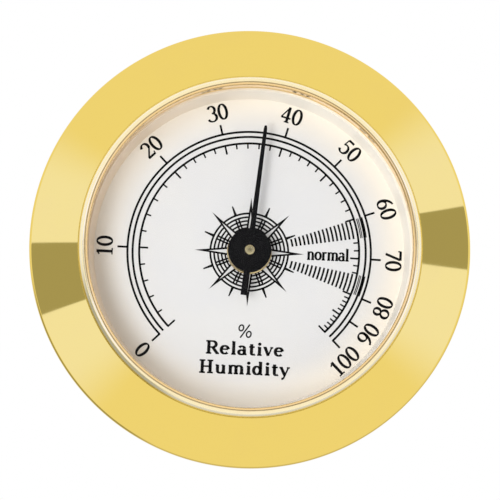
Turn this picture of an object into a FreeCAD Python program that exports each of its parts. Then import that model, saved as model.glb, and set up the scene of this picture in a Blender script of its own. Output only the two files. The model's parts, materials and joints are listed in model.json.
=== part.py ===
"""Flush-mount dial hygrometer: a round gauge pushed into a hole in a lid or panel.

The axis of the gauge is the Y axis. The dial faces -Y, +Z is up (the side of the
50 % mark) and the origin lies on the axis, in the plane of the flange's rear face.
Everything in front of that plane is the bezel; the case reaches back along +Y.
"""
import FreeCAD, Part
import math
import os
import re

import PartDesign
import Sketcher

os.makedirs("parts", exist_ok=True)
doc = FreeCAD.newDocument("dial_hygrometer")

# ---------------------------------------------------------------- driving sizes
SIZES = {
    # bezel and case, from the front backwards
    "flange_diameter": 45.0,
    "body_diameter": 36.5,
    "rim_height": 0.75,
    "bezel_rise": 1.15,
    "bezel_sheet": 0.4,
    "rim_round": 0.32,
    "throat_round": 0.18,
    "case_sheet": 0.35,
    "case_corner": 0.9,
    "wall_fit": 0.05,
    # ring, glass and spacer in the throat of the bezel
    "bead_width": 0.95,
    "bead_proud": 0.65,
    "bead_seat": 0.5,
    "lens_thickness": 1.5,
    "lens_chamfer": 0.2,
    "gasket_width": 0.7,
    "gasket_thickness": 0.3,
    "spacer_height": 2.6,
    "spacer_lip": 0.05,
    "spacer_bevel": 0.45,
    "sleeve_wall": 1.0,
    # dial and its carrier
    "dial_thickness": 0.4,
    "backing_thickness": 0.6,
    "backing_gap": 0.25,
    "bush_flange_radius": 2.32,
    "bush_flange_thickness": 0.3,
    "bush_radius": 1.5,
    "bush_tail": 0.4,
    # arbor and pointer
    "arbor_radius": 0.5,
    "pivot_radius": 0.3,
    "running_gap": 0.05,
    "pointer_height": 1.7,
    "pointer_thickness": 0.2,
    "pointer_hub_radius": 2.24,
    "pointer_tip_gap": 2.95,
    "pointer_root_width": 0.56,
    "pointer_tip_width": 0.36,
    "pointer_tail_reach": 4.7,
    "pointer_tail_width": 0.69,
    "pointer_rest_angle": 5.1,
    "arbor_proud": 0.15,
    "pointer_collet_radius": 0.9,
    "pointer_collet_length": 1.0,
    # humidity coil
    "coil_gap": 1.0,
    "coil_width": 2.4,
    "coil_start_radius": 2.0,
    "coil_pitch": 0.95,
    "coil_turns": 5.5,
    "metal_thickness": 0.1,
    "film_thickness": 0.12,
    "collet_radius": 1.5,
    "collet_overhang": 0.1,
    "collet_end_gap": 0.5,
    "tab_slot": 0.3,
    "coil_end_overrun": 8.0,
    # calibration lever, bridge and what holds them
    "post_radius": 0.55,
    "post_tenon_radius": 0.35,
    "post_slot": 0.34,
    "arm_width": 3.0,
    "arm_thickness": 0.5,
    "nose_radius": 1.2,
    "head_radius": 2.6,
    "head_thickness": 0.45,
    "axial_play": 0.05,
    "shank_radius": 1.9,
    "bridge_sheet": 0.6,
    "bridge_width": 5.0,
    "bridge_bend": 0.5,
    "foot_length": 3.5,
    "foot_margin": 0.6,
    "rivet_radius": 0.6,
    "rivet_head_radius": 1.1,
    "rivet_head_height": 0.4,
    "washer_sheet": 0.2,
    "washer_dish": 0.15,
    "washer_radius": 3.1,
    "clip_thickness": 0.3,
    "clip_radius": 2.9,
    "groove_radius": 1.4,
    "clip_opening": 70.0,
    "hub_tail": 0.5,
    "driver_slot_width": 0.5,
    "driver_slot_depth": 0.35,
    "rear_clearance": 0.95,
    "access_radius": 2.2,
    "vent_radius": 1.1,
    "vent_circle": 10.0,
    "vent_count": 8.0,
}

sheet = doc.addObject("Spreadsheet::Sheet", "Sizes")
for row, (alias, number) in enumerate(SIZES.items(), start=1):
    sheet.set(f"A{row}", alias)
    sheet.set(f"B{row}", str(number))
    sheet.setAlias(f"B{row}", alias)
doc.recompute()


def bound(text):
    """The expression `text` with every size name written as a cell of the sheet."""
    return re.sub(r"[a-z]+(?:_[a-z]+)+", lambda word: f"Sizes.{word.group()}", text)


def value(text):
    """The present value of an expression of size names, in millimetres or degrees."""
    return float(sheet.evalExpression(bound(text)))


# ------------------------------------------- places worked out from those sizes
# Radii from the axis.
rim_r = "(flange_diameter / 2)"
case_r = "(body_diameter / 2)"
case_bore_r = f"({case_r} - case_sheet)"
neck_outer_r = f"({case_bore_r} - wall_fit)"
neck_bore_r = f"({neck_outer_r} - bezel_sheet)"
opening_r = f"({neck_bore_r} - bead_width)"
insert_r = f"({neck_bore_r} - wall_fit)"
spacer_front_r = f"({opening_r} - spacer_lip)"
spacer_rear_r = f"({spacer_front_r} - spacer_bevel)"
sleeve_bore_r = f"({neck_outer_r} - sleeve_wall)"
backing_r = f"({sleeve_bore_r} - backing_gap)"
pointer_tip_r = f"({spacer_rear_r} - pointer_tip_gap)"
post_r = "(coil_start_radius + coil_pitch * coil_turns)"
leg_outer_x = f"({backing_r} - foot_margin - foot_length)"
leg_inner_x = f"({leg_outer_x} - bridge_sheet)"
foot_end_x = f"({backing_r} - foot_margin)"
rivet_x = f"({foot_end_x} - foot_length / 2)"

# Depths along the axis, counted backwards from the mounting plane.
flange_top_y = "(-rim_height - bezel_rise)"
bead_crest_y = f"({flange_top_y} - bead_proud)"
lens_front_y = f"({flange_top_y} + bead_seat)"
lens_rear_y = f"({lens_front_y} + lens_thickness)"
spacer_front_y = f"({lens_rear_y} + gasket_thickness)"
dial_front_y = f"({spacer_front_y} + spacer_height)"
dial_rear_y = f"({dial_front_y} + dial_thickness)"
backing_rear_y = f"({dial_rear_y} + backing_thickness)"
pointer_rear_y = f"({dial_front_y} - pointer_height)"
pointer_front_y = f"({pointer_rear_y} - pointer_thickness)"
bush_rear_y = f"({backing_rear_y} + bush_tail)"
coil_front_y = f"({backing_rear_y} + coil_gap)"
coil_rear_y = f"({coil_front_y} + coil_width)"
collet_rear_y = f"({coil_rear_y} + collet_overhang)"
arm_front_y = f"({collet_rear_y} + collet_end_gap)"
arm_rear_y = f"({arm_front_y} + arm_thickness)"
head_rear_y = f"({arm_rear_y} + head_thickness)"
bridge_front_y = f"({head_rear_y} + axial_play)"
bridge_rear_y = f"({bridge_front_y} + bridge_sheet)"
washer_front_y = f"({bridge_rear_y} + axial_play)"
clip_front_y = f"({washer_front_y} + washer_sheet + washer_dish)"
clip_rear_y = f"({clip_front_y} + clip_thickness)"
hub_rear_y = f"({clip_rear_y} + hub_tail)"
case_floor_y = f"({hub_rear_y} + rear_clearance)"
case_rear_y = f"({case_floor_y} + case_sheet)"


# ------------------------------------------------------------ modelling helpers
def new_body(label):
    """An empty body whose label is the name of the piece."""
    body = doc.addObject("PartDesign::Body", label)
    body.Label = label
    return body


def sketch_on(body, role, name):
    """A sketch on one of the body's own origin planes."""
    plane = next(item for item in body.Origin.OriginFeatures if item.Role == role)
    sketch = body.newObject("Sketcher::SketchObject", name)
    sketch.AttachmentSupport = [(plane, "")]
    sketch.MapMode = "FlatFace"
    return sketch


def draw_outline(sketch, points):
    """A closed outline of straight lines through `points`, pairs of expressions."""
    corners = [FreeCAD.Vector(value(across), value(along), 0) for across, along in points]
    count = len(corners)
    for index in range(count):
        line = Part.LineSegment(corners[index], corners[(index + 1) % count])
        sketch.addGeometry(line, False)
    for index in range(count):
        joined = Sketcher.Constraint("Coincident", index, 2, (index + 1) % count, 1)
        sketch.addConstraint(joined)
    for index, (point, corner) in enumerate(zip(points, corners)):
        for kind, text, number in zip(("DistanceX", "DistanceY"), point, corner):
            placed = Sketcher.Constraint(kind, -1, 1, index, 1, number)
            sketch.setExpression(f"Constraints[{sketch.addConstraint(placed)}]", bound(text))


def draw_circle(sketch, across, along, radius):
    """A circle placed and sized by expressions."""
    centre = FreeCAD.Vector(value(across), value(along), 0)
    circle = sketch.addGeometry(Part.Circle(centre, FreeCAD.Vector(0, 0, 1), value(radius)), False)
    for kind, text, number in zip(("DistanceX", "DistanceY"), (across, along), centre):
        placed = Sketcher.Constraint(kind, -1, 1, circle, 3, number)
        sketch.setExpression(f"Constraints[{sketch.addConstraint(placed)}]", bound(text))
    sized = sketch.addConstraint(Sketcher.Constraint("Radius", circle, value(radius)))
    sketch.setExpression(f"Constraints[{sized}]", bound(radius))


def turned(label, outline, sweep="360"):
    """A piece turned about the Y axis from a (radius, depth) outline."""
    body = new_body(label)
    sketch = sketch_on(body, "XY_Plane", f"{label}_outline")
    draw_outline(sketch, outline)
    turn = body.newObject("PartDesign::Revolution", f"{label}_turn")
    turn.Profile = sketch
    turn.ReferenceAxis = (sketch, ["V_Axis"])
    turn.setExpression("Angle", bound(sweep))
    doc.recompute()
    return body


def round_edges(body, feature, places, size):
    """Dress (`feature`: Fillet or Chamfer) the circular edges at (radius, depth)."""
    base = body.Tip
    wanted = [(value(radius), value(depth)) for radius, depth in places]
    names = []
    for index, edge in enumerate(base.Shape.Edges, start=1):
        if not isinstance(edge.Curve, Part.Circle):
            continue
        for radius, depth in wanted:
            on_radius = abs(edge.Curve.Radius - radius) < 1e-4
            if on_radius and abs(edge.Curve.Center.y - depth) < 1e-4:
                names.append(f"Edge{index}")
    dress = body.newObject(f"PartDesign::{feature}", f"{body.Name}_{feature.lower()}")
    dress.Base = (base, names)
    property_name = "Radius" if feature == "Fillet" else "Size"
    dress.setExpression(property_name, bound(size))
    body.Tip = dress
    doc.recompute()


def cut_through(body, role, name, draw):
    """Pocket that runs through the whole piece, square to one of its planes."""
    before = body.Shape.Volume
    sketch = sketch_on(body, role, name)
    draw(sketch)
    pocket = body.newObject("PartDesign::Pocket", f"{name}_cut")
    pocket.Profile = sketch
    pocket.SideType = "Symmetric"
    pocket.Type = "ThroughAll"
    doc.recompute()
    if body.Shape.Volume >= before:
        raise ValueError(f"{name} cuts nothing")
    return pocket


def pad_flat(body, name, outline, rear_y, thickness):
    """A flat plate square to Y, its rear face at `rear_y`, growing to the front."""
    sketch = sketch_on(body, "XZ_Plane", name)
    sketch.setExpression("AttachmentOffset.Base.z", bound(f"-{rear_y}"))
    draw_outline(sketch, outline)
    pad = body.newObject("PartDesign::Pad", f"{name}_pad")
    pad.Profile = sketch
    pad.setExpression("Length", bound(thickness))
    doc.recompute()
    return pad


def move(body, across="0", up="0"):
    """Carry a piece that was turned about the Y axis to its own place."""
    body.setExpression("Placement.Base.x", bound(across))
    body.setExpression("Placement.Base.z", bound(up))
    doc.recompute()


# ------------------------------------------------------------------ the housing
def make_bezel():
    """Polished bezel: a shallow cone with a turned-down rim and a neck in the case."""
    body = turned("bezel", [
        (neck_bore_r, dial_rear_y),
        (neck_bore_r, flange_top_y),
        (rim_r, "-rim_height"),
        (rim_r, "0"),
        (f"{rim_r} - bezel_sheet", "0"),
        (f"{rim_r} - bezel_sheet", "bezel_sheet - rim_height"),
        (neck_outer_r, f"{flange_top_y} + bezel_sheet"),
        (neck_outer_r, dial_rear_y),
    ])
    round_edges(body, "Fillet", [(rim_r, "-rim_height")], "rim_round")
    round_edges(body, "Fillet", [(neck_bore_r, flange_top_y)], "throat_round")
    return body


def make_case_cup():
    """Drawn case: a cup with a flat flange, a driver hole and a ring of vents."""
    seat_r = f"{rim_r} - bezel_sheet - wall_fit"
    body = turned("case_cup", [
        ("access_radius", case_floor_y),
        (case_bore_r, case_floor_y),
        (case_bore_r, "-case_sheet"),
        (seat_r, "-case_sheet"),
        (seat_r, "0"),
        (case_r, "0"),
        (case_r, case_rear_y),
        ("access_radius", case_rear_y),
    ])
    round_edges(body, "Fillet", [(case_r, case_rear_y)], "case_corner")
    vent = cut_through(body, "XZ_Plane", "vent",
                       lambda sketch: draw_circle(sketch, "0", "vent_circle", "vent_radius"))
    ring = body.newObject("PartDesign::PolarPattern", "vent_ring")
    ring.Originals = [vent]
    axis = next(item for item in body.Origin.OriginFeatures if item.Role == "Y_Axis")
    ring.Axis = (axis, [""])
    ring.Angle = 360
    ring.setExpression("Occurrences", bound("vent_count"))
    body.Tip = ring
    doc.recompute()
    return body


def make_bead_ring():
    """Half-round ring pressed into the throat of the bezel to hold the glass."""
    body = turned("bead_ring", [
        (opening_r, bead_crest_y),
        (neck_bore_r, bead_crest_y),
        (neck_bore_r, lens_front_y),
        (opening_r, lens_front_y),
    ])
    round_edges(body, "Fillet", [(opening_r, bead_crest_y), (neck_bore_r, bead_crest_y)],
                "bead_width * 0.45")
    return body


def make_lens():
    """Flat glass with a small chamfer at both edges."""
    body = turned("lens", [
        ("0", lens_front_y),
        (insert_r, lens_front_y),
        (insert_r, lens_rear_y),
        ("0", lens_rear_y),
    ])
    round_edges(body, "Chamfer", [(insert_r, lens_front_y), (insert_r, lens_rear_y)], "lens_chamfer")
    return body


def make_lens_gasket():
    """Thin rubber ring between the glass and the spacer."""
    return turned("lens_gasket", [
        (f"{insert_r} - gasket_width", lens_rear_y),
        (insert_r, lens_rear_y),
        (insert_r, spacer_front_y),
        (f"{insert_r} - gasket_width", spacer_front_y),
    ])


def make_dial_spacer():
    """Ring with a bevelled inner wall that keeps the glass clear of the pointer."""
    return turned("dial_spacer", [
        (spacer_front_r, spacer_front_y),
        (insert_r, spacer_front_y),
        (insert_r, dial_front_y),
        (spacer_rear_r, dial_front_y),
    ])


def make_support_sleeve():
    """Moulded sleeve that stands on the case floor and carries the dial."""
    return turned("support_sleeve", [
        (sleeve_bore_r, dial_rear_y),
        (neck_outer_r, dial_rear_y),
        (neck_outer_r, f"{case_floor_y} - case_corner"),
        (f"{neck_outer_r} - case_corner / 2", case_floor_y),
        (sleeve_bore_r, case_floor_y),
    ])


# ------------------------------------------------------------- dial and bearing
def make_dial_plate():
    """Printed metal dial, a plain disc with a hole for the bush."""
    return turned("dial_plate", [
        ("bush_radius", dial_front_y),
        (insert_r, dial_front_y),
        (insert_r, dial_rear_y),
        ("bush_radius", dial_rear_y),
    ])


def make_backing_plate():
    """Steel plate behind the dial that the movement is riveted to."""
    body = turned("backing_plate", [
        ("bush_radius", dial_rear_y),
        (backing_r, dial_rear_y),
        (backing_r, backing_rear_y),
        ("bush_radius", backing_rear_y),
    ])
    for side, sign in (("left", "-"), ("right", "")):
        cut_through(body, "XZ_Plane", f"backing_hole_{side}",
                    lambda sketch: draw_circle(sketch, f"{sign}{rivet_x}", "0", "rivet_radius"))
    return body


def make_front_bush():
    """Brass bush through dial and plate, its flange seen round the pointer's hub."""
    flange_front_y = f"{dial_front_y} - bush_flange_thickness"
    bore_r = "arbor_radius + running_gap"
    body = turned("front_bush", [
        (bore_r, flange_front_y),
        ("bush_flange_radius", flange_front_y),
        ("bush_flange_radius", dial_front_y),
        ("bush_radius", dial_front_y),
        ("bush_radius", bush_rear_y),
        (bore_r, bush_rear_y),
    ])
    round_edges(body, "Fillet", [("bush_flange_radius", flange_front_y)],
                "bush_flange_thickness * 0.5")
    return body


# ---------------------------------------------------- what turns with the pointer
def make_arbor():
    """Steel arbor from the pointer's boss to a thin pivot in the calibration hub."""
    tip_y = f"{pointer_front_y} - arbor_proud"
    shoulder_y = f"{arm_front_y} - running_gap * 4"
    body = turned("arbor", [
        ("0", tip_y),
        ("arbor_radius", tip_y),
        ("arbor_radius", shoulder_y),
        ("pivot_radius", shoulder_y),
        ("pivot_radius", f"{bridge_rear_y} + axial_play"),
        ("0", f"{bridge_rear_y} + axial_play"),
    ])
    round_edges(body, "Chamfer", [("arbor_radius", tip_y)], "arbor_proud * 0.6")
    return body


def make_pointer():
    """Black pointer: tapered blade, round hub and a square-ended tail."""
    body = turned("pointer", [
        ("arbor_radius", pointer_front_y),
        ("pointer_hub_radius", pointer_front_y),
        ("pointer_hub_radius", pointer_rear_y),
        ("arbor_radius", pointer_rear_y),
    ])
    root_z = "(arbor_radius + pointer_hub_radius) / 2"
    pad_flat(body, "pointer_blade", [
        ("-pointer_root_width / 2", root_z),
        ("pointer_root_width / 2", root_z),
        ("pointer_tip_width / 2", pointer_tip_r),
        ("-pointer_tip_width / 2", pointer_tip_r),
    ], pointer_rear_y, "pointer_thickness")
    pad_flat(body, "pointer_tail", [
        ("-pointer_tail_width / 2", "-pointer_tail_reach"),
        ("pointer_tail_width / 2", "-pointer_tail_reach"),
        ("pointer_tail_width / 2", f"-({root_z})"),
        ("-pointer_tail_width / 2", f"-({root_z})"),
    ], pointer_rear_y, "pointer_thickness")
    body.Placement = FreeCAD.Placement(FreeCAD.Vector(0, 0, 0),
                                       FreeCAD.Rotation(FreeCAD.Vector(0, 1, 0), 1))
    body.setExpression("Placement.Rotation.Angle", bound("pointer_rest_angle"))
    doc.recompute()
    return body


def make_pointer_collet():
    """Brass boss under the pointer that grips the arbor."""
    return turned("pointer_collet", [
        ("arbor_radius", pointer_rear_y),
        ("pointer_collet_radius", pointer_rear_y),
        ("pointer_collet_radius", f"{pointer_rear_y} + pointer_collet_length"),
        ("arbor_radius", f"{pointer_rear_y} + pointer_collet_length"),
    ])


def make_coil_collet():
    """Brass collet on the arbor, slotted for the inner end of the coil."""
    front_y = f"({coil_front_y} - collet_overhang)"
    body = turned("coil_collet", [
        ("arbor_radius", front_y),
        ("collet_radius", front_y),
        ("collet_radius", collet_rear_y),
        ("arbor_radius", collet_rear_y),
    ])
    floor_z = "(arbor_radius + collet_radius) / 2"
    cut_through(body, "XZ_Plane", "coil_slot", lambda sketch: draw_outline(sketch, [
        ("-tab_slot / 2", floor_z),
        ("tab_slot / 2", floor_z),
        ("tab_slot / 2", "collet_radius * 2"),
        ("-tab_slot / 2", "collet_radius * 2"),
    ]))
    body.Placement = FreeCAD.Placement(FreeCAD.Vector(0, 0, 0),
                                       FreeCAD.Rotation(FreeCAD.Vector(0, 1, 0), 1))
    body.setExpression("Placement.Rotation.Angle", bound("360 * coil_turns - 180"))
    doc.recompute()
    return body


# ----------------------------------------------------------------- humidity coil
def spiral_edge(inward, ends):
    """Spline along the coil, `inward` millimetres inside its middle line."""
    first, last = ends
    pitch = value("coil_pitch")
    steps = int(value("coil_turns") * 24)
    points = []
    for step in range(steps + 1):
        angle = first + (last - first) * step / steps
        radius = value("coil_start_radius") + pitch * (angle - first) / (2 * math.pi) - inward
        points.append(FreeCAD.Vector(radius * math.cos(angle), value(coil_front_y),
                                     radius * math.sin(angle)))
    curve = Part.BSplineCurve()
    curve.interpolate(points)
    return curve.toShape()


def spiral_strip(inner, outer, ends):
    """Strip between two spiral edges, as wide as the coil."""
    inner_edge = spiral_edge(inner, ends)
    outer_edge = spiral_edge(outer, ends)
    start = Part.makeLine(inner_edge.Vertexes[0].Point, outer_edge.Vertexes[0].Point)
    finish = Part.makeLine(inner_edge.Vertexes[1].Point, outer_edge.Vertexes[1].Point)
    face = Part.Face(Part.Wire([inner_edge, finish, outer_edge, start]))
    return face.extrude(FreeCAD.Vector(0, value("coil_width"), 0))


def make_coil():
    """Metal strip with the moisture-sensitive film on its outer side.

    The coil opens anticlockwise as seen from the dial, from the collet's slot at
    the top to the post below the axis, so a swelling film turns the pointer
    clockwise, towards the moist end of the scale.
    """
    last = math.radians(-90 + value("coil_end_overrun"))
    first = math.radians(-90) - 2 * math.pi * value("coil_turns")
    middle = (value("film_thickness") - value("metal_thickness")) / 2
    inner = (value("film_thickness") + value("metal_thickness")) / 2
    strip = spiral_strip(inner, middle, (first, last))
    film = spiral_strip(middle, -inner, (first, last))

    slot_floor = value("(arbor_radius + collet_radius) / 2") + value("running_gap")
    tab_reach = value("coil_start_radius") - middle - slot_floor
    tab = Part.makeBox(value("metal_thickness"), value("coil_width"), tab_reach,
                       FreeCAD.Vector(-value("metal_thickness") / 2, value(coil_front_y), slot_floor))
    turn_to_start = math.degrees(first) - 90
    tab.rotate(FreeCAD.Vector(0, 0, 0), FreeCAD.Vector(0, -1, 0), turn_to_start)
    for label, shape in (("coil_strip", strip.fuse(tab).removeSplitter()), ("coil_film", film)):
        piece = doc.addObject("Part::Feature", label)
        piece.Label = label
        piece.Shape = shape
        piece.Placement = FreeCAD.Placement()
        yield piece


# ------------------------------------------- calibration lever and its bearing
def make_calibration_hub():
    """Slotted hub in the bridge; its blind bore is the arbor's rear bearing."""
    bore_r = "pivot_radius + running_gap"
    bore_end_y = f"{bridge_rear_y} + axial_play * 3"
    body = turned("calibration_hub", [
        (bore_r, arm_front_y),
        ("nose_radius", arm_front_y),
        ("nose_radius", arm_rear_y),
        ("head_radius", arm_rear_y),
        ("head_radius", head_rear_y),
        ("shank_radius", head_rear_y),
        ("shank_radius", clip_front_y),
        ("groove_radius", clip_front_y),
        ("groove_radius", clip_rear_y),
        ("shank_radius", clip_rear_y),
        ("shank_radius", hub_rear_y),
        ("0", hub_rear_y),
        ("0", bore_end_y),
        (bore_r, bore_end_y),
    ])
    cut_through(body, "XY_Plane", "driver_slot", lambda sketch: draw_outline(sketch, [
        ("-driver_slot_width / 2", f"{hub_rear_y} - driver_slot_depth"),
        ("driver_slot_width / 2", f"{hub_rear_y} - driver_slot_depth"),
        ("driver_slot_width / 2", f"{hub_rear_y} + driver_slot_depth"),
        ("-driver_slot_width / 2", f"{hub_rear_y} + driver_slot_depth"),
    ]))
    return body


def primitive(kind, name, sizes, turn=None):
    """A Part primitive with sizes bound to the sheet, its own Z laid along +Y."""
    item = doc.addObject(f"Part::{kind}", name)
    if turn:
        item.Placement = FreeCAD.Placement(FreeCAD.Vector(0, 0, 0), turn)
    for property_name, text in sizes.items():
        item.setExpression(property_name, bound(text))
    return item


def make_anchor_arm():
    """Stamped arm on the hub's nose, with a round eye for the post at its end."""
    along_y = FreeCAD.Rotation(FreeCAD.Vector(1, 0, 0), -90)
    eye_z = f"-{post_r}"
    bar = primitive("Box", "arm_bar", {
        "Length": "arm_width", "Width": "arm_thickness", "Height": post_r,
        "Placement.Base.x": "-arm_width / 2", "Placement.Base.y": arm_front_y,
        "Placement.Base.z": eye_z})
    plate = primitive("Cylinder", "arm_plate", {
        "Radius": "head_radius", "Height": "arm_thickness", "Placement.Base.y": arm_front_y}, along_y)
    eye = primitive("Cylinder", "arm_eye", {
        "Radius": "arm_width / 2", "Height": "arm_thickness",
        "Placement.Base.y": arm_front_y, "Placement.Base.z": eye_z}, along_y)
    hub_hole = primitive("Cylinder", "arm_hub_hole", {
        "Radius": "nose_radius", "Height": "arm_thickness * 3",
        "Placement.Base.y": f"{arm_front_y} - arm_thickness"}, along_y)
    post_hole = primitive("Cylinder", "arm_post_hole", {
        "Radius": "post_tenon_radius", "Height": "arm_thickness * 3",
        "Placement.Base.y": f"{arm_front_y} - arm_thickness", "Placement.Base.z": eye_z}, along_y)
    blank = doc.addObject("Part::MultiFuse", "arm_blank")
    blank.Shapes = [bar, plate, eye]
    holes = doc.addObject("Part::MultiFuse", "arm_holes")
    holes.Shapes = [hub_hole, post_hole]
    arm = doc.addObject("Part::Cut", "anchor_arm")
    arm.Label = "anchor_arm"
    arm.Base = blank
    arm.Tool = holes
    doc.recompute()
    return arm


def make_anchor_post():
    """Slotted post that holds the outer end of the coil, riveted into the arm."""
    front_y = f"{coil_front_y} - collet_overhang"
    body = turned("anchor_post", [
        ("0", front_y),
        ("post_radius", front_y),
        ("post_radius", arm_front_y),
        ("post_tenon_radius", arm_front_y),
        ("post_tenon_radius", arm_rear_y),
        ("0", arm_rear_y),
    ])
    cut_through(body, "YZ_Plane", "post_slot_cut", lambda sketch: draw_outline(sketch, [
        (f"{front_y} - collet_overhang", "-post_slot / 2"),
        (f"{coil_rear_y} + collet_overhang", "-post_slot / 2"),
        (f"{coil_rear_y} + collet_overhang", "post_slot / 2"),
        (f"{front_y} - collet_overhang", "post_slot / 2"),
    ]))
    move(body, up=f"-{post_r}")
    return body


def make_friction_washer():
    """Dished spring washer that makes the calibration stay where it is set."""
    inner_r = "shank_radius + running_gap"
    return turned("friction_washer", [
        (inner_r, f"{washer_front_y} + washer_dish"),
        ("washer_radius", washer_front_y),
        ("washer_radius", f"{washer_front_y} + washer_sheet"),
        (inner_r, clip_front_y),
    ])


def make_retaining_clip():
    """Open snap ring in the hub's groove."""
    return turned("retaining_clip", [
        ("groove_radius", clip_front_y),
        ("clip_radius", clip_front_y),
        ("clip_radius", clip_rear_y),
        ("groove_radius", clip_rear_y),
    ], "360 - clip_opening")


def make_bridge():
    """Bent strip with two feet that carries the hub behind the coil."""
    right = [
        (leg_inner_x, bridge_front_y),
        (leg_inner_x, backing_rear_y),
        (foot_end_x, backing_rear_y),
        (foot_end_x, f"{backing_rear_y} + bridge_sheet"),
        (leg_outer_x, f"{backing_rear_y} + bridge_sheet"),
        (leg_outer_x, bridge_rear_y),
    ]
    left = [(f"-{across}", along) for across, along in reversed(right)]
    body = new_body("bridge")
    sketch = sketch_on(body, "XY_Plane", "bridge_profile")
    draw_outline(sketch, right + left)
    pad = body.newObject("PartDesign::Pad", "bridge_pad")
    pad.Profile = sketch
    pad.SideType = "Symmetric"
    pad.setExpression("Length", bound("bridge_width"))
    doc.recompute()
    bends = []
    for index, edge in enumerate(pad.Shape.Edges, start=1):
        first, second = (vertex.Point for vertex in edge.Vertexes)
        middle = (first + second) / 2
        runs_up = abs(first.x - second.x) < 1e-6 and abs(first.y - second.y) < 1e-6
        on_leg = abs(abs(middle.x) - value(leg_outer_x)) < 1e-4
        if runs_up and on_leg and abs(middle.y - value(bridge_rear_y)) < 1e-4:
            bends.append(f"Edge{index}")
    corner = body.newObject("PartDesign::Fillet", "bridge_bends")
    corner.Base = (pad, bends)
    corner.setExpression("Radius", bound("bridge_bend"))
    body.Tip = corner
    doc.recompute()
    cut_through(body, "XZ_Plane", "hub_hole",
                lambda sketch: draw_circle(sketch, "0", "0", "shank_radius + running_gap"))
    for side, sign in (("left", "-"), ("right", "")):
        cut_through(body, "XZ_Plane", f"foot_hole_{side}",
                    lambda sketch: draw_circle(sketch, f"{sign}{rivet_x}", "0", "rivet_radius"))
    return body


def make_bridge_rivet(side, sign):
    """Rivet that holds one foot of the bridge to the backing plate."""
    seat_y = f"{backing_rear_y} + bridge_sheet"
    body = turned(f"bridge_rivet_{side}", [
        ("0", dial_rear_y),
        ("rivet_radius", dial_rear_y),
        ("rivet_radius", seat_y),
        ("rivet_head_radius", seat_y),
        ("rivet_head_radius", f"{seat_y} + rivet_head_height"),
        ("0", f"{seat_y} + rivet_head_height"),
    ])
    round_edges(body, "Fillet", [("rivet_head_radius", f"{seat_y} + rivet_head_height")],
                "rivet_head_height * 0.7")
    move(body, across=f"{sign}{rivet_x}")
    return body


pieces = [
    make_bezel(),
    make_case_cup(),
    make_bead_ring(),
    make_lens(),
    make_lens_gasket(),
    make_dial_spacer(),
    make_support_sleeve(),
    make_dial_plate(),
    make_backing_plate(),
    make_front_bush(),
    make_arbor(),
    make_pointer(),
    make_pointer_collet(),
    make_coil_collet(),
    *make_coil(),
    make_calibration_hub(),
    make_anchor_arm(),
    make_anchor_post(),
    make_friction_washer(),
    make_retaining_clip(),
    make_bridge(),
    make_bridge_rivet("left", "-"),
    make_bridge_rivet("right", ""),
]
doc.recompute()

for item in doc.Objects:
    if "Invalid" in item.State or "Error" in item.State:
        raise ValueError(f"{item.Label} failed: {item.State}")
for piece in pieces:
    if piece.Shape.isNull() or not piece.Shape.isValid():
        raise ValueError(f"{piece.Label} has no valid shape")
for piece in pieces:
    piece.Shape.exportStep(f"parts/{piece.Label}.step")
    print(f"{piece.Label}: {piece.Shape.Volume:.2f} mm3, {len(piece.Shape.Solids)} solid")
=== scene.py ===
"""Looks of the flush-mount dial hygrometer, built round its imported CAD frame.

The gauge's axis is Y, the dial faces -Y and +Z is the top of the dial. Lengths in
this file are millimetres; they become metres where an object, a lamp or a node
needs them. Places on the dial are (across, up) from the axis, and angles are
degrees anticlockwise from the reader's right.
"""

import json
import math

import bmesh
import bpy
import numpy as np
from mathutils import Matrix, Vector


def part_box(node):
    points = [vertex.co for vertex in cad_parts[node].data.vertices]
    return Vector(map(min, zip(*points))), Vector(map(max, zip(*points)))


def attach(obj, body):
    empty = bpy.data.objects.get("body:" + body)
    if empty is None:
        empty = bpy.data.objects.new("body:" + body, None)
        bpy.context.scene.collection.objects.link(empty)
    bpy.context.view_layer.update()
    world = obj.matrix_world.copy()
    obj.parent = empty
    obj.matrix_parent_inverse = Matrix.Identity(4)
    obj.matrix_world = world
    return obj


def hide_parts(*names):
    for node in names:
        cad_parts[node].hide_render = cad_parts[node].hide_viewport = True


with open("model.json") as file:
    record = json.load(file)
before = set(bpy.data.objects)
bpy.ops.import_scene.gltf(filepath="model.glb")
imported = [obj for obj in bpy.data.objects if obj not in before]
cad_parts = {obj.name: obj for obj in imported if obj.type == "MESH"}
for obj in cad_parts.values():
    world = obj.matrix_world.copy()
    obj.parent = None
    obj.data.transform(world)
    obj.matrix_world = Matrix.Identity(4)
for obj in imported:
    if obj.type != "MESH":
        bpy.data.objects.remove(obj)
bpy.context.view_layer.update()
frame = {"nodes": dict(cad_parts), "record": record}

MM = 0.001


# ------------------------------------------------------------ sizes from the frame
def node_box(node):
    """Lowest and highest corner of a CAD node in millimetres."""
    low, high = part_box(node)
    return np.array(low) / MM, np.array(high) / MM


bezel_low, bezel_high = node_box("bezel")
bead_low, bead_high = node_box("bead_ring")
lens_low, lens_high = node_box("lens")
_, case_high = node_box("case_cup")
spacer_low, spacer_high = node_box("dial_spacer")
dial_low, dial_high = node_box("dial_plate")
bush_low, bush_high = node_box("front_bush")
arbor_low, arbor_high = node_box("arbor")
_, pointer_high = node_box("pointer")
hub_low, _ = node_box("calibration_hub")

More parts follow.
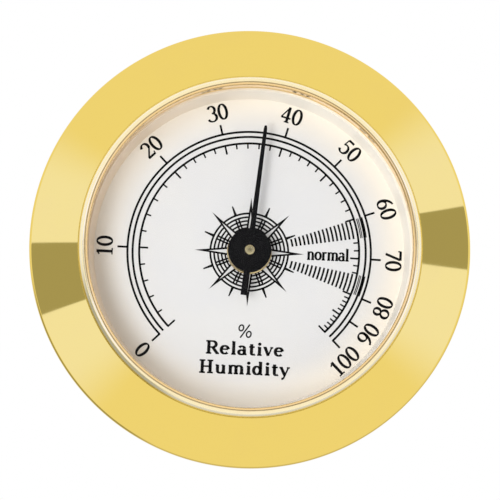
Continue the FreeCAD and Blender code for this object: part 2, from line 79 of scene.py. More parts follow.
RIM_R = bezel_high[0]
FLANGE_TOP = bezel_low[1]
BEZEL_SHEET = 0.4
THROAT_R = bead_high[0]
BEAD_WIDTH = 0.95
OPENING_R = THROAT_R - BEAD_WIDTH
LENS_R = lens_high[0]
CASE_R = 18.25
CASE_SHEET = 0.35
CASE_REAR = case_high[1]
DIAL_R = dial_high[0]
DIAL_FRONT = dial_low[1]
BUSH_HOLE_R = 1.5
READING_ANGLE = 84.9
HUB_R = 2.24
ARBOR_R = 0.5
POINTER_REAR = pointer_high[1]
POINTER_THICKNESS = 0.2
POINTER_TIP = 13.05

# Edges that turn by more degrees than this stay crisp.
SHARP = 28.0
# A length that counts as nothing: a crisp corner's fillet, or a radius on the axis.
TINY = 1e-3


# ------------------------------------------------------------------- mesh helpers
def new_piece(name, verts, faces, material, sharp=SHARP):
    """A mesh object from points in millimetres, smooth except at sharp corners."""
    mesh = bpy.data.meshes.new(name)
    mesh.from_pydata((np.asarray(verts) * MM).tolist(), [], faces)
    mesh.validate()
    mesh.shade_smooth()
    mesh.set_sharp_from_angle(angle=math.radians(sharp))
    mesh.materials.append(material)
    piece = bpy.data.objects.new(name, mesh)
    bpy.context.scene.collection.objects.link(piece)
    return piece


def points(across, depth, up):
    """Points of a whole grid: its three coordinates, each stretched to the grid's shape."""
    return np.stack(np.broadcast_arrays(across, depth, up), axis=-1)


def tube_faces(stations, corners, closed=False, base=0):
    """Faces of a tube: a ring of corners carried from station to station.

    A quad joins two neighbouring corners to the same two at the next station. A
    closed tube runs on from its last station to its first, and an open one has a
    flat face over each end. `base` is the number of the tube's first point.
    """
    station, corner = np.indices((stations if closed else stations - 1, corners))
    here, there = station * corners, (station + 1) % stations * corners
    after = (corner + 1) % corners
    quads = np.stack([here + corner, here + after, there + after, there + corner], axis=-1)
    faces = (base + quads.reshape(-1, 4)).tolist()
    if not closed:
        ring = base + np.arange(corners)
        faces += [ring[::-1].tolist(), (ring + (stations - 1) * corners).tolist()]
    return faces


def rounded(corners, per_quarter=8, hold=0.03):
    """Closed (radius, depth) outline whose corners are arcs.

    `corners` are (radius, depth, fillet). Each fillet is the arc tangent to both
    sides, its tangent points lying fillet / tan(half the corner) from the corner.
    A point `hold` away from each arc keeps the flats' shading flat.
    """
    spots = np.array([corner[:2] for corner in corners], float)
    outline = []
    for index, spot in enumerate(spots):
        fillet = corners[index][2]
        before = spots[index - 1] - spot
        after = spots[(index + 1) % len(spots)] - spot
        before_length, after_length = np.linalg.norm(before), np.linalg.norm(after)
        before, after = before / before_length, after / after_length
        half = 0.5 * math.acos(float(np.clip(before @ after, -1, 1)))
        reach = max(fillet, TINY) / math.tan(half)
        start, end = spot + before * reach, spot + after * reach
        outline.append(start + before * min(hold, before_length / 8))
        if fillet > 0:
            bisector = (before + after) / np.linalg.norm(before + after)
            centre = spot + bisector * fillet / math.sin(half)
            turn = math.pi - 2 * half
            count = max(2, math.ceil(per_quarter * turn / (math.pi / 2)))
            share = np.linspace(0, 1, count + 1)[:, None]
            swing = np.sin((1 - share) * turn) * (start - centre) + np.sin(share * turn) * (end - centre)
            outline.extend(centre + swing / math.sin(turn))
        else:
            outline.append(spot)
        outline.append(end + after * min(hold, after_length / 8))
    return np.array(outline)


def lathe(name, outline, material, steps=240):
    """Surface of revolution about Y: (radius, depth) becomes (r cos a, depth, r sin a).

    The outline is closed, and is turned round if its faces would look inwards.
    Points on the axis become single poles.
    """
    outline = np.asarray(outline, float)
    beyond = np.roll(outline, -1, axis=0)
    if np.sum(outline[:, 0] * beyond[:, 1] - beyond[:, 0] * outline[:, 1]) > 0:
        outline = outline[::-1]
    radius, depth = outline[:, :1], outline[:, 1:]
    angle = np.linspace(0, 2 * np.pi, steps, endpoint=False)
    grid = points(radius * np.cos(angle), depth, radius * np.sin(angle))
    faces = tube_faces(len(outline), steps, closed=True)
    piece = new_piece(name, grid.reshape(-1, 3), faces, material)
    if radius.min() < TINY:
        weld(piece)
    return piece


def weld(piece, closest=1e-7, smallest=1e-14):
    """Merges the points that fell on the axis and drops what closed up there.

    `closest` and `smallest` are the merging distance in metres and the least area of
    a face in square metres.
    """
    work = bmesh.new()
    work.from_mesh(piece.data)
    bmesh.ops.remove_doubles(work, verts=work.verts, dist=closest)
    flat = [face for face in work.faces if face.calc_area() < smallest]
    bmesh.ops.delete(work, geom=flat, context="FACES")
    loose = [edge for edge in work.edges if edge.is_wire]
    bmesh.ops.delete(work, geom=loose, context="EDGES")
    work.to_mesh(piece.data)
    work.free()


class Solids:
    """Collects small closed solids that become one mesh."""

    def __init__(self):
        self.verts = []
        self.faces = []

    def tube(self, grid, closed=False):
        """Adds a tube from its grid of points, stations by corners."""
        stations, corners, _ = grid.shape
        self.faces += tube_faces(stations, corners, closed, base=len(self.verts))
        self.verts += grid.reshape(-1, 3).tolist()

    def prism(self, outline, front, back):
        """Adds an (across, up) polygon, given anticlockwise, carried from back to front."""
        across, up = np.transpose(outline)
        self.tube(points(across, [[back], [front]], up))


# ------------------------------------------------------------- print on the dial
INK_FRONT = DIAL_FRONT - 0.012
INK_BACK = DIAL_FRONT + 0.004


class Ink(Solids):
    """Thin closed bars and plates of ink that lie on the dial."""

    def bar(self, path, width, closed=False):
        """Ribbon along a flat path: each point is offset by half the width both ways.

        Four points per station: left and right at the front, right and left at the
        back. A closed path's ribbon runs round into itself.
        """
        path = np.asarray(path, float)
        width = np.broadcast_to(np.asarray(width, float), (len(path),))
        if closed:
            along = np.roll(path, -1, axis=0) - np.roll(path, 1, axis=0)
        else:
            along = np.gradient(path, axis=0)
        along = along / np.linalg.norm(along, axis=1)[:, None]
        side = np.stack([-along[:, 1], along[:, 0]], axis=1) * (width / 2)[:, None]
        ring = np.stack([path + side, path - side, path - side, path + side], axis=1)
        depth = (INK_FRONT, INK_FRONT, INK_BACK, INK_BACK)
        self.tube(points(ring[..., 0], depth, ring[..., 1]), closed)

    def line(self, start, end, width, end_width=None):
        """Straight bar, tapered if a second width is given."""
        self.bar([start, end], [width, width if end_width is None else end_width])

    def arc(self, radius, first, last, width, step=2.0):
        """Bar along a circle about the axis from one angle to another."""
        count = max(3, int(abs(last - first) / step) + 1)
        angle = np.radians(np.linspace(first, last, count))
        self.bar(radius * np.stack([np.cos(angle), np.sin(angle)], axis=1), width)

    def plate(self, outline):
        """Flat closed plate over a polygon given anticlockwise."""
        self.prism(outline, INK_FRONT, INK_BACK)

    def piece(self, name):
        """The printed mesh, riding on the case with the dial."""
        ink = new_piece(name, self.verts, self.faces, INK, sharp=10)
        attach(ink, "case")
        return ink


def polar(radius, angle):
    """Point on the dial at a radius and an angle."""
    return radius * math.cos(math.radians(angle)), radius * math.sin(math.radians(angle))


def turned(spots, angle):
    """Points of the dial turned about the axis by an angle."""
    cosine, sine = polar(1, angle)
    return np.asarray(spots) @ [[cosine, sine], [-sine, cosine]]


# Letters of the type, in units of the capital height: how far the pen goes on, then
# the strokes, which are ("line", x0, y0, x1, y1) and
# ("arc", centre x, centre y, half width, half height, first angle, last angle).
# A number after them is the stroke's own weight; without one, upright strokes are
# thick and level ones thin, as a broad pen draws them.
SERIF = 0.06
PEN_THIN = 0.065


def foot(middle, level=0.028, half=0.17):
    """Serif across the end of an upright stroke."""
    return ("line", middle - half, level, middle + half, level, SERIF)


GLYPHS = {
    "0": (0.66, [("arc", 0.33, 0.5, 0.235, 0.46, 0, 360)]),
    "1": (0.62, [("line", 0.33, 0.0, 0.33, 0.98), ("line", 0.13, 0.80, 0.33, 0.94, 0.07),
                 foot(0.33, half=0.2)]),
    "2": (0.66, [("arc", 0.32, 0.70, 0.22, 0.26, 165, -35), ("line", 0.50, 0.55, 0.09, 0.08, 0.09),
                 ("line", 0.06, 0.06, 0.58, 0.06, 0.12), ("line", 0.565, 0.03, 0.60, 0.22, 0.06)]),
    "3": (0.64, [("arc", 0.30, 0.735, 0.205, 0.225, 160, -85),
                 ("arc", 0.28, 0.27, 0.265, 0.255, 88, -160)]),
    "4": (0.68, [("line", 0.44, 0.0, 0.44, 0.98), ("line", 0.43, 0.94, 0.07, 0.31, 0.065),
                 ("line", 0.04, 0.285, 0.64, 0.285, 0.09), foot(0.44, half=0.15)]),
    "5": (0.64, [("line", 0.17, 0.92, 0.56, 0.92, 0.12), ("line", 0.17, 0.93, 0.13, 0.50, 0.06),
                 ("arc", 0.28, 0.31, 0.255, 0.285, 125, -155)]),
    "6": (0.66, [("arc", 0.335, 0.295, 0.23, 0.265, 0, 360), ("arc", 0.61, 0.31, 0.505, 0.65, 104, 180)]),
    "7": (0.64, [("line", 0.07, 0.91, 0.61, 0.91, 0.13), ("line", 0.58, 0.90, 0.25, 0.0, 0.13),
                 ("line", 0.085, 0.96, 0.06, 0.76, 0.06)]),
    "8": (0.66, [("arc", 0.33, 0.745, 0.19, 0.215, 0, 360), ("arc", 0.33, 0.265, 0.235, 0.245, 0, 360)]),
    "9": (0.66, [("arc", 0.325, 0.705, 0.23, 0.265, 0, 360), ("arc", 0.05, 0.69, 0.505, 0.65, -76, 0)]),
    "R": (0.80, [("line", 0.18, 0.0, 0.18, 1.0), ("line", 0.18, 0.97, 0.40, 0.97, 0.06),
                 ("line", 0.18, 0.50, 0.42, 0.50, 0.06), ("arc", 0.40, 0.735, 0.225, 0.235, 90, -90),
                 ("line", 0.42, 0.50, 0.70, 0.03, 0.17),
                 foot(0.18), foot(0.18, 0.972), foot(0.72, half=0.1)]),
    "H": (0.88, [("line", 0.20, 0.0, 0.20, 1.0), ("line", 0.66, 0.0, 0.66, 1.0),
                 ("line", 0.20, 0.51, 0.66, 0.51),
                 foot(0.20), foot(0.66), foot(0.20, 0.972), foot(0.66, 0.972)]),
    "a": (0.60, [("line", 0.42, 0.0, 0.42, 0.46), ("arc", 0.255, 0.47, 0.165, 0.19, 0, 155),
                 ("arc", 0.25, 0.19, 0.175, 0.17, 0, 360), ("line", 0.42, 0.03, 0.56, 0.05, 0.07)]),
    "d": (0.66, [("line", 0.47, 0.0, 0.47, 1.02), ("arc", 0.27, 0.335, 0.195, 0.305, 0, 360),
                 ("line", 0.36, 0.97, 0.47, 0.99, 0.06), ("line", 0.47, 0.03, 0.60, 0.03, 0.06)]),
    "e": (0.60, [("arc", 0.30, 0.335, 0.22, 0.305, 8, 318), ("line", 0.09, 0.38, 0.51, 0.38, 0.06)]),
    "i": (0.36, [("line", 0.18, 0.0, 0.18, 0.66), ("line", 0.07, 0.62, 0.18, 0.64, 0.06),
                 ("arc", 0.18, 0.88, 0.045, 0.045, 0, 360, 0.09), foot(0.18, half=0.14)]),
    "l": (0.36, [("line", 0.18, 0.0, 0.18, 1.02), ("line", 0.07, 0.98, 0.18, 1.0, 0.06),
                 foot(0.18, half=0.14)]),
    "m": (1.02, [("line", 0.18, 0.0, 0.18, 0.66), ("line", 0.51, 0.0, 0.51, 0.44),
                 ("line", 0.84, 0.0, 0.84, 0.44),
                 ("arc", 0.345, 0.44, 0.165, 0.20, 0, 150), ("arc", 0.675, 0.44, 0.165, 0.20, 0, 150),
                 ("line", 0.07, 0.62, 0.18, 0.64, 0.06),
                 foot(0.18, half=0.13), foot(0.51, half=0.13), foot(0.84, half=0.13)]),
    "n": (0.70, [("line", 0.18, 0.0, 0.18, 0.66), ("line", 0.52, 0.0, 0.52, 0.44),
                 ("arc", 0.35, 0.44, 0.17, 0.20, 0, 150), ("line", 0.07, 0.62, 0.18, 0.64, 0.06),
                 foot(0.18, half=0.13), foot(0.52, half=0.13)]),
    "o": (0.62, [("arc", 0.31, 0.335, 0.215, 0.305, 0, 360)]),
    "r": (0.50, [("line", 0.18, 0.0, 0.18, 0.66), ("arc", 0.33, 0.43, 0.15, 0.20, 160, 45),
                 ("line", 0.07, 0.62, 0.18, 0.64, 0.06), foot(0.18, half=0.14)]),
    "t": (0.44, [("line", 0.19, 0.14, 0.19, 0.86), ("arc", 0.31, 0.16, 0.12, 0.13, 180, 320),
                 ("line", 0.04, 0.635, 0.38, 0.635, 0.06)]),
    "u": (0.70, [("line", 0.17, 0.66, 0.17, 0.22), ("arc", 0.34, 0.22, 0.17, 0.19, 180, 330),
                 ("line", 0.52, 0.66, 0.52, 0.0), ("line", 0.05, 0.635, 0.17, 0.635, 0.06),
                 ("line", 0.40, 0.635, 0.52, 0.635, 0.06), ("line", 0.52, 0.03, 0.64, 0.03, 0.06)]),
    "v": (0.58, [("line", 0.09, 0.65, 0.30, 0.0, 0.17), ("line", 0.50, 0.65, 0.30, 0.0, 0.06),
                 foot(0.09, 0.635, 0.1), foot(0.50, 0.635, 0.09)]),
    "y": (0.60, [("line", 0.10, 0.65, 0.33, 0.02, 0.17), ("line", 0.52, 0.65, 0.24, -0.24, 0.06),
                 ("line", 0.24, -0.22, 0.13, -0.24, 0.12), foot(0.10, 0.635, 0.1), foot(0.52, 0.635, 0.09)]),
    "%": (1.0, [("arc", 0.24, 0.72, 0.13, 0.22, 0, 360, 0.085),
                ("arc", 0.72, 0.26, 0.13, 0.22, 0, 360, 0.085),
                ("line", 0.26, -0.02, 0.70, 1.0, 0.08)]),
}


def pen_width(direction, thin, thick):
    """Broad-pen width: thin along level strokes, thick along upright ones."""
    upright = np.abs(direction[:, 1]) / np.maximum(np.linalg.norm(direction, axis=1), 1e-9)
    return thin + (thick - thin) * upright ** 1.4


def stroke_path(kind, *numbers):
    """Path of a stroke, whether it runs into itself, and its own weight or None.

    An arc is centre + (half width * cos a, half height * sin a), a point each 12 degrees.
    """
    if kind == "line":
        weight = numbers[4] if len(numbers) > 4 else None
        return np.reshape(numbers[:4], (2, 2)), False, weight
    weight = numbers[6] if len(numbers) > 6 else None
    centre, half, (first, last) = np.reshape(numbers[:6], (3, 2))
    closed = abs(last - first) == 360
    angle = np.radians(np.linspace(first, last, max(8, int(abs(last - first) / 12) + 1)))
    path = centre + half * np.stack([np.cos(angle), np.sin(angle)], axis=1)
    return path[:-1] if closed else path, closed, weight


def lettering(ink, text, middle, up_angle, height, thick=0.17, thin=PEN_THIN, spacing=0.0, slant=0.0,
              breadth=1.0):
    """Sets a word with its middle at a point and its tops towards `up_angle`.

    A point (x, y) of a letter goes to middle + height * ((x * breadth + slant * y + pen)
    * across + (y - 0.5) * up), where pen is how far the pen has gone.
    """
    advance = [GLYPHS[letter][0] * breadth + spacing for letter in text]
    up = np.array(polar(1, up_angle))
    across = np.array([up[1], -up[0]])
    pen = -sum(advance) / 2
    for letter, step in zip(text, advance):
        for stroke in GLYPHS[letter][1]:
            path, closed, weight = stroke_path(*stroke)
            if weight is None:
                weight = pen_width(np.gradient(path, axis=0), thin, thick)
            else:
                weight += thin - PEN_THIN
            leaned = path[:, :1] * breadth + slant * path[:, 1:] + pen
            spots = np.asarray(middle) + height * (leaned * across + (path[:, 1:] - 0.5) * up)
            ink.bar(spots, np.asarray(weight) * height, closed)
        pen += step


# -------------------------------------------------------------- shader arithmetic
def operator(operation, reflected=False):
    """A method that puts a value and another number or value through one Math node."""
    def method(value, other):
        pair = (other, value) if reflected else (value, other)
        return value.shader.add("ShaderNodeMath", {"operation": operation}, dict(enumerate(pair)))
    return method


def function(operation):
    """A method that puts a value through one Math node."""
    def method(value):
        return value.shader.add("ShaderNodeMath", {"operation": operation}, {0: value})
    return method


class Value:
    """A node's output: arithmetic on it adds Math nodes."""

    def __init__(self, shader, socket):
        self.shader = shader
        self.socket = socket

    __add__ = __radd__ = operator("ADD")
    __mul__ = __rmul__ = operator("MULTIPLY")
    __sub__, __rsub__ = operator("SUBTRACT"), operator("SUBTRACT", reflected=True)
    __truediv__, __rtruediv__ = operator("DIVIDE"), operator("DIVIDE", reflected=True)
    __pow__, __rpow__ = operator("POWER"), operator("POWER", reflected=True)
    sin = function("SINE")
    cos = function("COSINE")
    arccos = function("ARCCOSINE")
    sqrt = function("SQRT")
    # One above the other number, nought below it.
    over = operator("GREATER_THAN")
    at_most = operator("MINIMUM")
    # Angle of (other, value), anticlockwise from the first.
    angle_from = operator("ARCTAN2")

    def fade(self, low, high, start=0.0, end=1.0):
        """Runs smoothly from start to end as the value goes from low to high."""
        return self.shader.add("ShaderNodeMapRange", {"interpolation_type": "SMOOTHSTEP"},
                               {"Value": self, "From Min": low, "From Max": high,
                                "To Min": start, "To Max": end})


class Shader:
    """Builds the nodes of one material or of the world."""

    def __init__(self, tree):
        self.tree = tree
        tree.nodes.clear()

    def add(self, kind, settings=None, inputs=None, output=0):
        """One node: its settings first, then the values or links of its sockets."""
        node = self.tree.nodes.new(kind)
        for key, item in (settings or {}).items():
            setattr(node, key, item)
        for key, item in (inputs or {}).items():
            socket = node.inputs[key]
            if isinstance(item, Value):
                self.tree.links.new(item.socket, socket)
            else:
                socket.default_value = (*item, 1) if socket.type == "RGBA" else item
        return Value(self, node.outputs[output]) if node.outputs else None

    def place(self):
        """Object coordinates in metres."""
        return self.add("ShaderNodeTexCoord", output="Object")

    def parts(self, vector):
        """The three numbers of a vector."""
        first = self.add("ShaderNodeSeparateXYZ", None, {0: vector})
        return [Value(self, socket) for socket in first.socket.node.outputs]

    def vector(self, across, along, up):
        """A vector from three numbers."""
        return self.add("ShaderNodeCombineXYZ", None, {0: across, 1: along, 2: up})

    def radius(self):
        """Distance from the gauge's axis in millimetres."""
        across, _, up = self.parts(self.place())
        return (across * across + up * up).sqrt() / MM

    def noise(self, scale, vector=None, detail=3.0):
        """Cloudy noise about 0.5; `scale` is per millimetre."""
        return self.add("ShaderNodeTexNoise", None, {
            "Vector": vector or self.place(), "Scale": scale / MM, "Detail": detail})

    def mix(self, factor, first, second):
        """Colour between two colours."""
        return self.add("ShaderNodeMix", {"data_type": "RGBA"}, {0: factor, 6: first, 7: second}, output=2)

    def bump(self, height, distance):
        """Surface relief; distance in millimetres."""
        return self.add("ShaderNodeBump", None, {"Height": height, "Distance": distance * MM,
                                                 "Strength": 1.0})

    def principled(self, **sockets):
        """The general shader, its sockets named with underscores."""
        return self.add("ShaderNodeBsdfPrincipled", None,
                        {key.replace("_", " "): item for key, item in sockets.items()})

    def finish(self, surface, output="ShaderNodeOutputMaterial"):
        """Joins the surface to the output."""
        self.add(output, None, {"Surface": surface})


def new_material(name):
    """An empty node material and its shader builder."""
    material = bpy.data.materials.new(name)
    material.use_nodes = True
    return material, Shader(material.node_tree)


def turned_lines(shader, per_mm, lean=0.8, jitter=0.3):
    """Fine rings left by spinning or turning: sin(2 pi per_mm (radius + lean * depth + noise))."""
    radius = shader.radius()
    _, along, _ = shader.parts(shader.place())
    wobble = shader.noise(0.9, detail=2) * jitter
    return ((radius + along / MM * lean + wobble) * (2 * math.pi * per_mm)).sin()


def make_flange_gold():
    """Mirror-bright gold plate with the faintest spin marks and handling haze."""
    material, shader = new_material("flange_gold")
    haze = shader.noise(0.35, detail=4).fade(0.45, 0.75)
    colour = shader.mix(haze * 0.25, (0.863, 0.648, 0.160), (0.840, 0.622, 0.170))
    surface = shader.principled(Base_Color=colour, Metallic=1.0, Roughness=0.022 + haze * 0.015,
                                Normal=shader.bump(turned_lines(shader, 5.0), 0.00002))
    shader.finish(surface)
    return material


def make_bead_gold():
    """Gold of the rolled bead: deep on its inner flank, with a patchy painted highlight on the crest and a
    pale painted sheen outside.
    """
    material, shader = new_material("bead_gold")
    radius = shader.radius()
    # Painted highlight: the crest and the outer flank are coloured pale, broken up by noise.
    crest = radius.fade(OPENING_R + 0.30, OPENING_R + 0.42)
    outside = radius.fade(OPENING_R + 0.55, OPENING_R + 0.85)
    highlight_patches = shader.noise(0.8, detail=4).fade(0.3, 0.7, 0.85, 1.0)
    crest_highlight = shader.mix(crest * highlight_patches, (0.92, 0.66, 0.32), (0.99, 0.86, 0.53))
    colour = shader.mix(outside, crest_highlight, (0.99, 0.93, 0.74))
    surface = shader.principled(Base_Color=colour, Metallic=1.0, Roughness=0.16 + outside * 0.1,
                                Normal=shader.bump(turned_lines(shader, 7.0), 0.0002))
    shader.finish(surface)
    return material


def make_glass():
    """Clear flat glass: mostly let through, a little mirrored, with faint lint.

    Both faces mirror alike, and most at a slant: a share of 0.005, and 0.55 times
    the fifth power of one minus the slant's cosine.
    """
    material, shader = new_material("lens_glass")
    clear = shader.add("ShaderNodeBsdfTransparent", None, {"Color": (0.985, 0.99, 0.985)})
    mirror = shader.add("ShaderNodeBsdfGlossy", None, {"Color": (1, 1, 1), "Roughness": 0.02})
    lint = shader.noise(1.8, detail=6).fade(0.66, 0.74) * 0.006
    rim = shader.radius().fade(LENS_R - 0.4, LENS_R) * 0.1
    slant = shader.add("ShaderNodeLayerWeight", None, {"Blend": 0.5}, output="Facing")
    gloss = slant ** 5 * 0.55 + 0.005
    surface = shader.add("ShaderNodeMixShader", None, {0: gloss + lint + rim, 1: clear, 2: mirror})
    shader.finish(surface)
    return material


def make_dial_enamel():
    """Cool white enamel on the dial, brighter and warmer towards the rim from a painted reflection of the
    gold bezel.
    """
    material, shader = new_material("dial_enamel")
    radius = shader.radius()
    # Painted reflection: the rim is brightened and warmed as if by light bounced off the gold bezel.
    painted_rim_bounce = radius.fade(11.8, 16.5)
    cloud = shader.noise(0.22, detail=3).fade(0.35, 0.65)
    grain = shader.noise(9.0, detail=2).fade(0.3, 0.7)
    base = shader.mix(cloud * 0.5, (0.665, 0.652, 0.665), (0.69, 0.672, 0.665))
    bounce_tinted = shader.mix(painted_rim_bounce, base, (0.83, 0.755, 0.66))
    colour = shader.mix(grain * 0.08, bounce_tinted, (0.58, 0.565, 0.55))
    surface = shader.principled(Base_Color=colour, Roughness=0.5 + grain * 0.1,
                                Normal=shader.bump(grain, 0.004))
    shader.finish(surface)
    return material


def make_ink():
    """Black screen ink, slightly uneven."""
    material, shader = new_material("dial_ink")
    patch = shader.noise(2.5, detail=4).fade(0.35, 0.7)
    colour = shader.mix(patch, (0.002, 0.002, 0.002), (0.008, 0.007, 0.007))
    surface = shader.principled(Base_Color=colour, Roughness=0.5 + patch * 0.15,
                                Specular_IOR_Level=0.05, Normal=shader.bump(patch, 0.003))
    shader.finish(surface)
    return material


def make_spacer_plastic():
    """Off-white moulded ring, with a painted warm reflection of the gold bead on its shaded left side."""
    material, shader = new_material("spacer_plastic")
    flow = shader.noise(0.5, detail=3).fade(0.3, 0.7)
    across = shader.parts(shader.place())[0]
    # Painted reflection and shade: warmer and darker towards the left, the side in shade, as if tinted by
    # the gold bead.
    painted_lee_tint = (across / MM).fade(-17.0, 6.0, 1.0, 0.0)
    plain_moulding = shader.mix(flow, (0.84, 0.79, 0.72), (0.87, 0.82, 0.75))
    colour = shader.mix(painted_lee_tint, plain_moulding, (0.86, 0.69, 0.52))
    surface = shader.principled(Base_Color=colour, Roughness=0.42 + flow * 0.08,
                                Normal=shader.bump(shader.noise(6.0), 0.003))
    shader.finish(surface)
    return material


def make_pointer_black():
    """Satin black paint with a few fine rubs."""
    material, shader = new_material("pointer_black")
    mottle = shader.noise(3.0, detail=5).fade(0.35, 0.75)
    across, along, up = shader.parts(shader.place())
    rub = shader.noise(1.6, shader.vector(across * 6, along, up), detail=2).fade(0.70, 0.78)
    paint = shader.mix(mottle, (0.003, 0.003, 0.0035), (0.007, 0.0065, 0.007))
    colour = shader.mix(rub * 0.35, paint, (0.16, 0.15, 0.14))
    surface = shader.principled(Base_Color=colour, Roughness=0.36 + mottle * 0.14,
                                Specular_IOR_Level=0.05, Normal=shader.bump(mottle, 0.002))
    shader.finish(surface)
    return material


def make_metal(name, bright, dull, rough, per_mm, relief=0.0006):
    """Turned or rolled metal: fine rings, a duller patina in clouds."""
    material, shader = new_material(name)
    patina = shader.noise(0.7, detail=5).fade(0.35, 0.7)
    lines = turned_lines(shader, per_mm)
    surface = shader.principled(Base_Color=shader.mix(patina, bright, dull), Metallic=1.0,
                                Roughness=rough + patina * 0.12 + lines * 0.02,
                                Normal=shader.bump(lines, relief))
    shader.finish(surface)
    return material


def make_drawn_gold():
    """Plated drawn case: satin, with drawing lines along the wall and soft stains."""
    material, shader = new_material("drawn_gold")
    across, along, up = shader.parts(shader.place())
    stretched = shader.vector(across, along * 0.06, up)
    drawn = shader.noise(5.0, stretched, detail=4)
    stain = shader.noise(0.16, detail=4).fade(0.45, 0.8)
    colour = shader.mix(stain * 0.6, (0.78, 0.60, 0.24), (0.60, 0.43, 0.17))
    surface = shader.principled(Base_Color=colour, Metallic=1.0,
                                Roughness=0.22 + drawn.fade(0.3, 0.7) * 0.14 + stain * 0.08,
                                Normal=shader.bump(drawn, 0.003))
    shader.finish(surface)
    return material


def make_plain(name, first, second, rough, scale, relief, metallic=0.0):
    """Moulded, rubber, film or sheet finish: two close shades in fine clouds."""
    material, shader = new_material(name)
    cloud = shader.noise(scale, detail=5).fade(0.3, 0.7)
    surface = shader.principled(Base_Color=shader.mix(cloud, first, second), Metallic=metallic,
                                Roughness=rough + cloud * 0.1, Normal=shader.bump(cloud, relief))
    shader.finish(surface)
    return material


FLANGE_GOLD = make_flange_gold()
BEAD_GOLD = make_bead_gold()
GLASS = make_glass()
ENAMEL = make_dial_enamel()
INK = make_ink()
SPACER = make_spacer_plastic()
BLACK = make_pointer_black()
BRASS = make_metal("turned_brass", (0.74, 0.60, 0.34), (0.56, 0.44, 0.24), 0.22, 9.0)
SHEET_BRASS = make_metal("sheet_brass", (0.78, 0.60, 0.28), (0.55, 0.41, 0.20), 0.32, 0.7)
STEEL = make_metal("zinc_steel", (0.62, 0.62, 0.60), (0.46, 0.46, 0.45), 0.3, 2.0)
ARBOR = make_metal("arbor_brass", (0.54, 0.46, 0.27), (0.36, 0.30, 0.17), 0.18, 6.0)
DRAWN_GOLD = make_drawn_gold()
RUBBER = make_plain("gasket_rubber", (0.78, 0.55, 0.25), (0.86, 0.62, 0.30), 0.6, 4.0, 0.01)
SLEEVE = make_plain("sleeve_plastic", (0.015, 0.015, 0.016), (0.03, 0.03, 0.03), 0.4, 3.0, 0.004)
COIL_METAL = make_plain("coil_bronze", (0.75, 0.55, 0.32), (0.6, 0.42, 0.24), 0.25, 2.0, 0.001, 1.0)
COIL_FILM = make_plain("coil_film", (0.66, 0.58, 0.40), (0.76, 0.70, 0.52), 0.5, 3.0, 0.003)
RIVET = make_metal("rivet_metal", (0.80, 0.80, 0.80), (0.62, 0.62, 0.63), 0.25, 5.0)

CAD_FINISH = {
    "polished_gold": FLANGE_GOLD, "drawn_case": DRAWN_GOLD, "lens_glass": GLASS, "gasket_rubber": RUBBER,
    "spacer_plastic": SPACER, "sleeve_plastic": SLEEVE, "dial_enamel": ENAMEL, "steel_sheet": STEEL,
    "turned_brass": BRASS, "arbor_steel": ARBOR, "pointer_black": BLACK, "coil_metal": COIL_METAL,
    "coil_film": COIL_FILM, "sheet_brass": SHEET_BRASS, "rivet_metal": RIVET,
}


def dress_frame():
    """Gives every CAD node the material of its slot."""
    slots = {entry["node"]: entry["material_slot"] for entry in frame["record"]["subparts"]}
    for name, node in frame["nodes"].items():
        node.data.materials.clear()
        node.data.materials.append(CAD_FINISH[slots[name]])


# ----------------------------------------------------------------------- housing
def stand_for(piece, body, slot, *nodes):
    """Rides the piece on a body in place of CAD nodes."""
    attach(piece, body)
    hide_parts(*nodes)
    return piece


def build_bezel():
    """Shallow cone with a soft rim; the neck behind it runs back into the case."""
    neck_r = THROAT_R + BEZEL_SHEET
    neck_end = bezel_high[1]
    rim_height = 0.75
    outline = rounded([
        (THROAT_R, neck_end, 0),
        (THROAT_R, FLANGE_TOP, 0.07),
        (RIM_R, -rim_height, 0.32),
        (RIM_R, 0.0, 0.05),
        (RIM_R - BEZEL_SHEET, 0.0, 0.05),
        (RIM_R - BEZEL_SHEET, BEZEL_SHEET - rim_height, 0),
        (neck_r, FLANGE_TOP + BEZEL_SHEET, 0),
        (neck_r, neck_end, 0),
    ], per_quarter=12)
    stand_for(lathe("bezel_flange", outline, FLANGE_GOLD, steps=360), "case", "polished_gold", "bezel")


def build_bead():
    """Rolled bead: a tight turn towards the glass, a wide one towards the flange."""
    outline = rounded([
        (OPENING_R, bead_low[1], BEAD_WIDTH * 0.3),
        (THROAT_R, bead_low[1], BEAD_WIDTH * 0.66),
        (THROAT_R, bead_high[1], 0),
        (OPENING_R, bead_high[1], 0.04),
    ], per_quarter=12, hold=0.004)
    stand_for(lathe("bead_crown", outline, BEAD_GOLD, steps=360), "case", "polished_gold", "bead_ring")


def build_glass():
    """Round flat glass with ground chamfers."""
    front, rear = lens_low[1], lens_high[1]
    chamfer = 0.2
    outline = [(0, front), (LENS_R - chamfer, front), (LENS_R, front + chamfer),
               (LENS_R, rear - chamfer), (LENS_R - chamfer, rear), (0, rear)]
    stand_for(lathe("glass_disc", outline, GLASS, steps=180), "case", "lens_glass", "lens")


def build_spacer():
    """Ring with a bevelled wall, wider at the glass than at the dial."""
    front_r = OPENING_R - 0.05
    rear_r = front_r - 0.45
    outer = spacer_high[0]
    outline = rounded([
        (front_r, spacer_low[1], 0.08), (outer, spacer_low[1], 0),
        (outer, spacer_high[1], 0), (rear_r, spacer_high[1], 0),
    ])
    stand_for(lathe("spacer_ring", outline, SPACER), "case", "spacer_plastic", "dial_spacer")


def build_dial():
    """Enamelled disc with a hole for the bush."""
    outline = rounded([
        (BUSH_HOLE_R, DIAL_FRONT, 0), (DIAL_R, DIAL_FRONT, 0.05),
        (DIAL_R, dial_high[1], 0), (BUSH_HOLE_R, dial_high[1], 0),
    ])
    stand_for(lathe("dial_disc", outline, ENAMEL), "case", "dial_enamel", "dial_plate")


